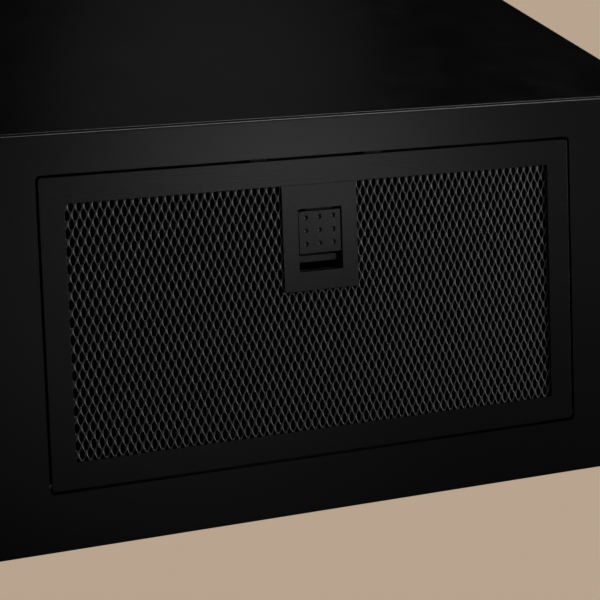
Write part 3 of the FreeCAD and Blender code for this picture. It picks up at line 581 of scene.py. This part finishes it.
filterMiddle = middle(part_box("filter_frame"))
areaLight("keyDisc", studio["keyPower"], studio["keySize"], studio["keyPlace"], filterMiddle)
areaLight("fillDisc", studio["fillPower"], studio["fillSize"], studio["fillPlace"], filterMiddle)
areaLight("sideDisc", studio["sidePower"], studio["sideSize"], studio["sidePlace"], filterMiddle)
areaLight("skyDisc", studio["skyPower"], studio["skySize"], studio["skyPlace"], studio["bodyMiddle"])
areaLight("frontDisc", studio["frontPower"], studio["frontSize"], studio["frontPlace"], studio["bodyMiddle"])
areaLight("lowDisc", studio["lowPower"], studio["lowSize"], studio["lowPlace"], studio["glassMiddle"])

world = bpy.data.worlds.new("studio")
bpy.context.scene.world = world
world.use_nodes = True
sky = world.node_tree
sky.nodes.clear()
direction = addNode(sky, "ShaderNodeTexCoord").outputs["Generated"]
glowDirection = Vector(studio["glowToward"]).normalized()
facing = addNode(sky, "ShaderNodeVectorMath", {"operation": "DOT_PRODUCT", 1: glowDirection}, {0: direction})
glow = addNode(sky, "ShaderNodeMapRange",
               {"interpolation_type": "SMOOTHSTEP", "From Min": studio["glowCosine"], "From Max": 1.0,
                "To Min": studio["ambient"], "To Max": studio["glow"]},
               {"Value": facing.outputs["Value"]})
# a black flag hangs round the glow, so that the glass shows only the glow from below
flag = addNode(sky, "ShaderNodeMapRange",
               {"interpolation_type": "SMOOTHSTEP", "From Min": 0.88, "From Max": 0.96,
                "To Min": 1.0, "To Max": 0.0},
               {"Value": facing.outputs["Value"]})
height = addNode(sky, "ShaderNodeSeparateXYZ", None, {"Vector": direction}).outputs["Z"]
horizon = addNode(sky, "ShaderNodeMapRange",
                  {"interpolation_type": "SMOOTHSTEP", "From Min": -0.65, "From Max": -0.2,
                   "To Min": 0.0, "To Max": studio["horizon"]}, {"Value": height})
zenith = addNode(sky, "ShaderNodeMapRange",
                 {"interpolation_type": "SMOOTHSTEP", "From Min": -0.1, "From Max": 1.0,
                  "To Min": 0.0, "To Max": studio["zenith"]}, {"Value": height})
room = addNode(sky, "ShaderNodeMath", {"operation": "ADD"},
               {0: horizon.outputs["Result"], 1: zenith.outputs["Result"]})
strength = addNode(sky, "ShaderNodeMath", {"operation": "MULTIPLY_ADD"},
                   {0: room.outputs["Value"], 1: flag.outputs["Result"], 2: glow.outputs["Result"]})
soft = addNode(sky, "ShaderNodeBackground", {"Color": (1, 1, 1, 1)},
               {"Strength": strength.outputs["Value"]})
pale = addNode(sky, "ShaderNodeBackground", {"Color": colour(studio["backdrop"])})
seen = addNode(sky, "ShaderNodeLightPath").outputs["Is Camera Ray"]
mixed = addNode(sky, "ShaderNodeMixShader", None,
                {0: seen, 1: soft.outputs["Background"], 2: pale.outputs["Background"]})
addNode(sky, "ShaderNodeOutputWorld", None, {"Surface": mixed.outputs["Shader"]})

clearSelection()
bpy.ops.mesh.primitive_plane_add(size=14, location=(0, 0, studio["floorHeight"]))
floor = newest("studioFloor")
floorPaint, floorTree, floorShader, floorPlace = startMaterial(
    "matt floor paint", {"Base Color": colour("cdbfae"), "Roughness": 0.8})
speckle = addNode(floorTree, "ShaderNodeTexNoise", {"Scale": perMetre(300.0)}, {"Vector": floorPlace})
floorTone = addNode(floorTree, "ShaderNodeMix",
                    {"data_type": "RGBA", 6: colour("c9bba9"), 7: colour("d1c4b4")},
                    {0: speckle.outputs["Fac"]})
floorTree.links.new(floorTone.outputs[2], floorShader.inputs["Base Color"])
floor.data.materials.append(floorPaint)
floor.visible_glossy = False
floor.visible_diffuse = False

viewpoint = {
    "fromFilter": (-0.82165, -0.22041, -1.4231),
    "turn": (173.6442, 29.6901, 2.2634),
    "lens": 141.63,
}
filterFace = Vector((0, filterMiddle.y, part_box("mesh_front")[0].z))
clearSelection()
bpy.ops.object.camera_add(location=filterFace + Vector(viewpoint["fromFilter"]),
                          rotation=[math.radians(angle) for angle in viewpoint["turn"]])
camera = bpy.context.object
camera.name = "viewpoint"
camera.data.lens = viewpoint["lens"]
camera.data.sensor_width = 36.0
camera.data.clip_start = 0.05
camera.data.clip_end = 60.0
bpy.context.scene.camera = camera
bpy.context.scene.view_settings.view_transform = "Standard"
print("light and camera set")
